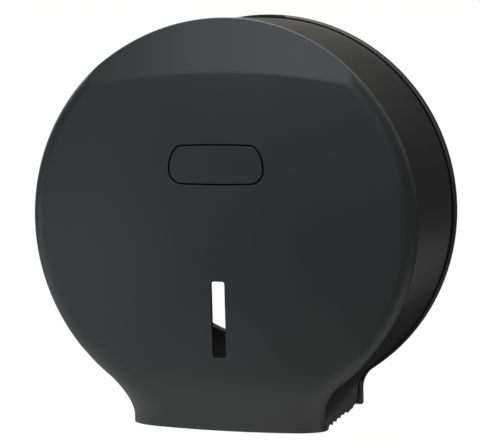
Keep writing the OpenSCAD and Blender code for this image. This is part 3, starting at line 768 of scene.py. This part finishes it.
# ---------------------------------------------------------------- latch springs
def spring_piece(node, name):
    """Coil spring with closed ends in the place of a CAD node."""
    low, high = cad_box(node)
    middle = (low + high) / 2
    radius = (high[0] - low[0]) / 2 - WIRE_R
    steps = SPRING_TURNS * 36
    turns = np.linspace(0, SPRING_TURNS, steps + 1)
    travel = high[2] - low[2] - 2 * WIRE_R
    closed = 2 * WIRE_R
    rise = np.interp(turns, [0, 1, SPRING_TURNS - 1, SPRING_TURNS], [0, closed, travel - closed, travel])
    angle = 2 * math.pi * turns
    outward = np.stack([np.cos(angle), np.sin(angle), 0 * angle], -1)
    centre = outward * radius + middle * (1, 1, 0) + np.stack([0 * rise, 0 * rise, low[2] + WIRE_R + rise], -1)
    along = unit(np.gradient(centre, axis=0))
    across = np.cross(along, outward)
    rows = []
    for b in np.radians(np.arange(0, 360, 30)):
        n = math.cos(b) * outward + math.sin(b) * across
        rows.append((centre + n * WIRE_R, n))
    shell = Shell()
    loops = [
        (np.array([p[i] for p, n in rows]), np.array([n[i] for p, n in rows]))
        for i in range(steps + 1)
    ]
    lofted(shell, loops)
    for i, way in ((0, -1), (steps, 1)):
        ring = loops[i][0]
        shell.add(ring, np.tile(way * along[i], (len(ring), 1)), [tuple(range(len(ring)))])
    return shell.object(name)


# ---------------------------------------------------------------- materials
def material(name):
    """A new node material and its node tree's helpers."""
    m = bpy.data.materials.new(name)
    m.use_nodes = True
    return m, m.node_tree.nodes, m.node_tree.links, m.node_tree.nodes["Principled BSDF"]


def noise(nodes, scale, detail=2):
    """A noise texture."""
    n = nodes.new("ShaderNodeTexNoise")
    n.inputs["Scale"].default_value = scale
    n.inputs["Detail"].default_value = detail
    return n


def tinted(nodes, links, shader, value, dark, light, spread):
    """Base colour that follows value from dark to light, spread to each side of the middle."""
    tone = nodes.new("ShaderNodeValToRGB")
    for element, side, colour in zip(tone.color_ramp.elements, (-1, 1), (dark, light)):
        element.position = 0.5 + side * spread
        element.color = (*colour, 1)
    links.new(value, tone.inputs["Fac"])
    links.new(tone.outputs["Color"], shader.inputs["Base Color"])


def glossed(nodes, links, shader, value, low, high):
    """Roughness that follows value from low to high."""
    gloss = nodes.new("ShaderNodeMapRange")
    gloss.inputs["To Min"].default_value = low
    gloss.inputs["To Max"].default_value = high
    links.new(value, gloss.inputs["Value"])
    links.new(gloss.outputs["Result"], shader.inputs["Roughness"])


def bumped(nodes, links, shader, value, strength, depth):
    """Bump that follows value, depth metres deep."""
    bump = nodes.new("ShaderNodeBump")
    bump.inputs["Strength"].default_value = strength
    bump.inputs["Distance"].default_value = depth
    links.new(value, bump.inputs["Height"])
    links.new(bump.outputs["Normal"], shader.inputs["Normal"])


def plastic(name, colour, rough=0.5, grain=0.35, spec=0.4):
    """Moulded plastic: fine grain in the bump, and slow changes of tone and gloss."""
    m, nodes, links, shader = material(name)
    place = nodes.new("ShaderNodeTexCoord")
    fine, slow = noise(nodes, 2600, 3), noise(nodes, 14, 4)
    for n in (fine, slow):
        links.new(place.outputs["Object"], n.inputs["Vector"])
    fine, slow = fine.outputs["Fac"], slow.outputs["Fac"]
    tinted(nodes, links, shader, slow, [c * 0.93 for c in colour], [c * 1.07 for c in colour], 0.15)
    glossed(nodes, links, shader, slow, rough - 0.05, rough + 0.05)
    bumped(nodes, links, shader, fine, grain, 0.00004)
    shader.inputs["Specular IOR Level"].default_value = spec
    return m


def metal(name, colour, rough=0.3, stretch=(1, 1, 1), grain=0.3):
    """Plated or drawn steel with fine streaks and uneven gloss."""
    m, nodes, links, shader = material(name)
    place = nodes.new("ShaderNodeTexCoord")
    turn = nodes.new("ShaderNodeMapping")
    turn.inputs["Scale"].default_value = stretch
    streak, slow = noise(nodes, 1500, 4), noise(nodes, 120)
    links.new(place.outputs["Object"], turn.inputs["Vector"])
    links.new(turn.outputs["Vector"], streak.inputs["Vector"])
    links.new(place.outputs["Object"], slow.inputs["Vector"])
    streak, slow = streak.outputs["Fac"], slow.outputs["Fac"]
    tinted(nodes, links, shader, slow, [c * 0.82 for c in colour], colour, 0.2)
    glossed(nodes, links, shader, streak, rough - 0.08, rough + 0.12)
    bumped(nodes, links, shader, streak, grain, 0.00002)
    shader.inputs["Metallic"].default_value = 1.0
    return m


# Colours are linear values
FINISH = {
    "cover_black": plastic("cover_black", (0.014, 0.014, 0.0145), rough=0.4, spec=0.5),
    "badge_black": plastic("badge_black", (0.014, 0.014, 0.0145), rough=0.38, spec=0.5),
    "back_plate_black": plastic("back_plate_black", (0.014, 0.014, 0.0145), rough=0.4, spec=0.5),
    "cap_black": plastic("cap_black", (0.02, 0.02, 0.021), rough=0.45),
    # recess: a darker, duller plastic for the walls and floors of the front openings, as painted shade; it is
    # not a finish of its own
    "recess": plastic("recess", (0.005, 0.005, 0.0052), rough=0.85, grain=0.2, spec=0.08),
    "spindle_grey": plastic("spindle_grey", (0.36, 0.37, 0.38), rough=0.42, grain=0.2),
    "sleeve_grey": plastic("sleeve_grey", (0.46, 0.47, 0.48), rough=0.4, grain=0.2),
    "lock_grey": plastic("lock_grey", (0.07, 0.07, 0.074), rough=0.45),
    "latch_grey": plastic("latch_grey", (0.55, 0.55, 0.52), rough=0.35, grain=0.15),
    "nylon": plastic("nylon", (0.72, 0.69, 0.6), rough=0.38, grain=0.15),
    "zinc_screws": metal("zinc_screws", (0.66, 0.66, 0.64), rough=0.3),
    "spring_steel": metal("spring_steel", (0.5, 0.5, 0.5), rough=0.32),
    "pin_steel": metal("pin_steel", (0.6, 0.6, 0.61), rough=0.22, stretch=(0.05, 1, 1)),
    "keeper_steel": metal("keeper_steel", (0.58, 0.58, 0.58), rough=0.34, stretch=(1, 0.08, 1)),
}


# ---------------------------------------------------------------- pieces that stand for CAD nodes
def stand_for(piece, *nodes):
    """piece replaces CAD nodes, moves with their body and takes their finish."""
    first = frame["nodes"][nodes[0]]
    slot = next(s["material_slot"] for s in frame["record"]["subparts"] if s["node"] == nodes[0])
    piece.data.materials.clear()
    piece.data.materials.append(FINISH[slot])
    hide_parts(*nodes)
    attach(piece, first["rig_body"])
    return piece


def softened(node, width=0.3, sharp=25.0, bead=None):
    """A copy of a CAD node with its flat faces joined up and its sharp edges rounded by width millimetres.

    bead, if given, names the edges that get a chamfer first, in the order of BEAD.
    """
    mesh = frame["nodes"][node].data.copy()
    if mesh.has_custom_normals:
        mesh.normals_split_custom_set([(0, 0, 0)] * len(mesh.loops))
    soft = bmesh.new()
    soft.from_mesh(mesh)
    bmesh.ops.remove_doubles(soft, verts=soft.verts, dist=2e-6)
    bmesh.ops.dissolve_limit(soft, angle_limit=math.radians(0.6), verts=soft.verts, edges=soft.edges)
    for edge in soft.edges:
        edge.smooth = edge.calc_face_angle(0) < math.radians(sharp)
    for face in soft.faces:
        face.smooth = True
    if bead:
        radius, height, chamfer_width = (b * MM for b in bead)
        layer = soft.edges.layers.float.new("bevel_weight_edge")
        for edge in soft.edges:
            on_ring = all(math.hypot(v.co.x, v.co.z) > radius and -v.co.y > height for v in edge.verts)
            edge[layer] = float(on_ring and edge.calc_face_angle(0) > math.radians(45))
    soft.to_mesh(mesh)
    soft.free()
    piece = bpy.data.objects.new("soft_" + node, mesh)
    bpy.context.scene.collection.objects.link(piece)
    if bead:
        chamfer = piece.modifiers.new("bead", "BEVEL")
        chamfer.width = chamfer_width
        chamfer.segments = 1
        chamfer.limit_method = "WEIGHT"
        chamfer.use_clamp_overlap = False
    bevel = piece.modifiers.new("round", "BEVEL")
    bevel.width = width * MM
    bevel.segments = 2
    bevel.limit_method = "ANGLE"
    bevel.angle_limit = math.radians(sharp)
    bevel.harden_normals = True
    return stand_for(piece, node)


def paint_shade_in_openings(piece, openings):
    """Paints shade on the walls and floors of the openings in the front face, with a darker, duller plastic
    there.
    """
    piece.data.materials.append(FINISH["recess"])
    for face in piece.data.polygons:
        x, y, z = np.array(face.center) / MM
        in_front = RECESS_SKIN < front_out(abs(x), z) + y < RECESS_DEPTH and face.normal.y < RECESS_FACING
        if in_front and any(abs(x) < w and low < z < high for w, low, high in openings):
            face.material_index = 1


# The walls and floors of the badge recess and the viewing slot get painted shade
paint_shade_in_openings(stand_for(cover_piece(), "cover_shell"), [BADGE_ZONE, SLOT_ZONE])
paint_shade_in_openings(stand_for(badge_piece(), "badge_plate"), [BADGE_ZONE])
for side in ("left", "right"):
    node = "latch_spring_" + side
    low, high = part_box(node)
    piece = stand_for(spring_piece(node, "coil_" + side), node)
    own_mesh(piece)
SOFTENED = {
    "back_plate": 0.3, "spindle_flange": 0.3, "spindle_post": 0.3, "core_sleeve": 0.3, "sleeve_flange": 0.4,
    "thrust_washer": 0.15, "spindle_cap": 0.3, "lock_housing": 0.25, "lock_lid": 0.25, "latch_slide": 0.25,
    "cover_keeper": 0.2,
}
for name, width in SOFTENED.items():
    softened(name, width, bead=BEAD if name == "back_plate" else None)
for name, obj in frame["nodes"].items():
    slot = next(s["material_slot"] for s in frame["record"]["subparts"] if s["node"] == name)
    obj.data.materials.clear()
    obj.data.materials.append(FINISH[slot])


# ---------------------------------------------------------------- stage, lights and camera
def stage_mesh(name, points, faces, m):
    """A mesh of the studio, which isn't part of the object."""
    mesh = bpy.data.meshes.new(name)
    mesh.from_pydata(points, [], faces)
    mesh.materials.append(m)
    obj = bpy.data.objects.new(name, mesh)
    bpy.context.scene.collection.objects.link(obj)
    return obj


def shown_white(nodes, links):
    """1 for camera, glossy and transmission rays, else 0."""
    path = nodes.new("ShaderNodeLightPath")
    last = path.outputs["Is Camera Ray"]
    for ray in ("Is Glossy Ray", "Is Transmission Ray"):
        either = nodes.new("ShaderNodeMath")
        either.operation = "MAXIMUM"
        links.new(last, either.inputs[0])
        links.new(path.outputs[ray], either.inputs[1])
        last = either.outputs[0]
    return last


def towards(azimuth, elevation, distance=1.0):
    """A place seen from the object: azimuth 0 in front and 90 to the right, in degrees."""
    a, e = math.radians(azimuth), math.radians(elevation)
    return Vector((math.sin(a) * math.cos(e), -math.cos(a) * math.cos(e), math.sin(e))) * distance


def soft_box(name, azimuth, elevation, power, colour, size=0.9, distance=1.6):
    """A square soft box that shines on the object."""
    light = bpy.data.lights.new(name, "AREA")
    light.shape = "SQUARE"
    light.size = size
    light.energy = power
    light.color = colour
    obj = bpy.data.objects.new(name, light)
    obj.location = MIDDLE + towards(azimuth, elevation, distance)
    obj.rotation_euler = (MIDDLE - obj.location).to_track_quat("-Z", "Y").to_euler()
    bpy.context.scene.collection.objects.link(obj)


MIDDLE = Vector((0, -0.06, 0))
WIDE = 1.6
LOW_SIZE = 0.3
LOW_DISTANCE = 1.0
WARM = (1.0, 0.985, 0.95)
COOL = (0.82, 0.935, 0.97)
soft_box("overhead", 0, 85, 8, WARM, WIDE)
soft_box("overhead_rear", 180, 70, 24, WARM, WIDE)
soft_box("left_rear", -120, 50, 18, WARM, WIDE)
soft_box("right", 90, 40, 7, WARM, WIDE)
soft_box("front_high", 0, 60, 6, WARM, WIDE)
soft_box("front", -10, 28, 6, COOL)
soft_box("low_left", -60, -6, 0.5, COOL, LOW_SIZE, LOW_DISTANCE)
soft_box("low_front", -30, -6, 0.35, COOL, LOW_SIZE, LOW_DISTANCE)

# Pale floor: near the object it has its own shading and the object's shadow, and further off it is seen as
# white. The object's gloss sees it as white everywhere.
FLOOR_DROP = 0.34
FLOOR_HALF = 4.0
SHADED_TO = 0.3
WHITE_FROM = 0.75
WHITE_UNDER_OBJECT = 0.35
floor_look, nodes, links, shader = material("floor")
shader.inputs["Base Color"].default_value = (0.55, 0.55, 0.55, 1)
shader.inputs["Roughness"].default_value = 0.9
shader.inputs["Specular IOR Level"].default_value = 0
place = nodes.new("ShaderNodeTexCoord")
distance = nodes.new("ShaderNodeVectorMath")
distance.operation = "LENGTH"
links.new(place.outputs["Object"], distance.inputs[0])
fade = nodes.new("ShaderNodeMapRange")
fade.interpolation_type = "SMOOTHSTEP"
fade.inputs["From Min"].default_value = SHADED_TO
fade.inputs["From Max"].default_value = WHITE_FROM
fade.inputs["To Min"].default_value = WHITE_UNDER_OBJECT
links.new(distance.outputs["Value"], fade.inputs["Value"])
share = nodes.new("ShaderNodeMath")
share.operation = "MULTIPLY"
links.new(fade.outputs["Result"], share.inputs[0])
links.new(shown_white(nodes, links), share.inputs[1])
glow = nodes.new("ShaderNodeEmission")
mix = nodes.new("ShaderNodeMixShader")
gloss = nodes.new("ShaderNodeMath")
gloss.operation = "MAXIMUM"
links.new(share.outputs[0], gloss.inputs[0])
links.new(nodes.new("ShaderNodeLightPath").outputs["Is Glossy Ray"], gloss.inputs[1])
links.new(gloss.outputs[0], mix.inputs[0])
links.new(shader.outputs[0], mix.inputs[1])
links.new(glow.outputs[0], mix.inputs[2])
links.new(mix.outputs[0], nodes["Material Output"].inputs["Surface"])
corners = [(x * FLOOR_HALF, y * FLOOR_HALF, 0) for x, y in ((-1, -1), (1, -1), (1, 1), (-1, 1))]
floor = stage_mesh("floor", corners, [(0, 1, 2, 3)], floor_look)
floor.location = (0, 0, -FLOOR_DROP)

# Black flags: the dark room around the white floor, seen in the object's gloss only. Each lies between two
# azimuths: mats on the floor between two distances, and panels around the object between two elevations.
FLAG_STEP = 10
PANEL_AT = 1.9
PANEL_ROWS = 8
MAT_LIFT = 0.002
ROOM_GREY = 0.02
MATS = (
    (-180, -150, 0.0, 0.9),
    (-180, -165, 0.9, 1.9),
    (-150, -108, 0.0, 1.9),
    (-30, 0, 0.9, 1.9),
    (0, 60, 0.0, 0.2),
    (0, 30, 0.5, 1.9),
    (30, 60, 1.0, 1.9),
    (60, 90, 0.0, 0.4),
    (60, 90, 0.65, 1.9),
    (90, 120, 0.0, 1.9),
    (120, 151, 0.0, 0.8),
    (120, 151, 1.6, 1.9),
    (151, 180, 0.0, 1.9),
)
PANELS = (
    (-180, -150, -10, 55),
    (-120, -90, -10, 0),
    (-90, 0, -10, 90),
    (0, 180, -10, 90),
)


def patch(points, faces, first, last, rows):
    """Adds a strip between two azimuths. rows holds functions that give a place for an azimuth."""
    start = len(points)
    columns = round((last - first) / FLAG_STEP) + 1
    for azimuth in np.linspace(first, last, columns):
        points.extend(tuple(row(azimuth)) for row in rows)
    faces.extend(tuple(start + i for i in face) for face in grid_faces(columns, len(rows)))


def on_floor(distance):
    """Places on the floor at one distance, as a function of azimuth."""
    return lambda azimuth: towards(azimuth, 0, distance) + Vector((0, 0, MAT_LIFT - FLOOR_DROP))


def on_panel(elevation):
    """Places around the object at one elevation, as a function of azimuth."""
    return lambda azimuth: towards(azimuth, elevation, PANEL_AT)


flag_points, flag_faces = [], []
for first, last, near, far in MATS:
    patch(flag_points, flag_faces, first, last, [on_floor(near), on_floor(far)])
for first, last, low, high in PANELS:
    heights = [low + (high - low) * k / (PANEL_ROWS - 1) for k in range(PANEL_ROWS)]
    patch(flag_points, flag_faces, first, last, [on_panel(height) for height in heights])
flag_look, nodes, links, shader = material("black_flag")
shader.inputs["Base Color"].default_value = (0.004, 0.004, 0.004, 1)
shader.inputs["Emission Color"].default_value = (1, 1, 1, 1)
shader.inputs["Emission Strength"].default_value = ROOM_GREY
shader.inputs["Roughness"].default_value = 1.0
shader.inputs["Specular IOR Level"].default_value = 0
flags = stage_mesh("black_flags", flag_points, flag_faces, flag_look)
flags.visible_camera = False
flags.visible_diffuse = False
flags.visible_shadow = False
flags.visible_transmission = False

# World: white where it is seen, and a plain level of light
WORLD_LEVEL = 0.45
world = bpy.data.worlds.new("studio")
bpy.context.scene.world = world
world.use_nodes = True
nodes, links = world.node_tree.nodes, world.node_tree.links
nodes.clear()
plain = nodes.new("ShaderNodeBackground")
plain.inputs["Color"].default_value = (1, 1, 1, 1)
plain.inputs["Strength"].default_value = WORLD_LEVEL
white = nodes.new("ShaderNodeBackground")
white.inputs["Color"].default_value = (1, 1, 1, 1)
mix = nodes.new("ShaderNodeMixShader")
out = nodes.new("ShaderNodeOutputWorld")
links.new(shown_white(nodes, links), mix.inputs[0])
links.new(plain.outputs[0], mix.inputs[1])
links.new(white.outputs[0], mix.inputs[2])
links.new(mix.outputs[0], out.inputs["Surface"])

# Camera: a long lens, a little right of the front and a little above
CAMERA_AT = (0.3957, -1.2398, 0.1221)
CAMERA_AZIMUTH = math.radians(18.62)
CAMERA_ELEVATION = math.radians(5.87)
CAMERA_ROLL = math.radians(-0.96)
CAMERA_LENS = 138.64
forward = Vector((
    -math.sin(CAMERA_AZIMUTH) * math.cos(CAMERA_ELEVATION),
    math.cos(CAMERA_AZIMUTH) * math.cos(CAMERA_ELEVATION),
    -math.sin(CAMERA_ELEVATION),
))
level = Vector((math.cos(CAMERA_AZIMUTH), math.sin(CAMERA_AZIMUTH), 0))
upward = level.cross(forward)
right = math.cos(CAMERA_ROLL) * level + math.sin(CAMERA_ROLL) * upward
up = -math.sin(CAMERA_ROLL) * level + math.cos(CAMERA_ROLL) * upward
camera = bpy.data.objects.new("camera", bpy.data.cameras.new("camera"))
camera.data.lens = CAMERA_LENS
camera.data.sensor_width = 36
camera.data.sensor_fit = "HORIZONTAL"
camera.matrix_world = Matrix.Translation(CAMERA_AT) @ Matrix((right, up, -forward)).transposed().to_4x4()
bpy.context.scene.collection.objects.link(camera)
bpy.context.scene.camera = camera
bpy.context.scene.view_settings.view_transform = "Standard"
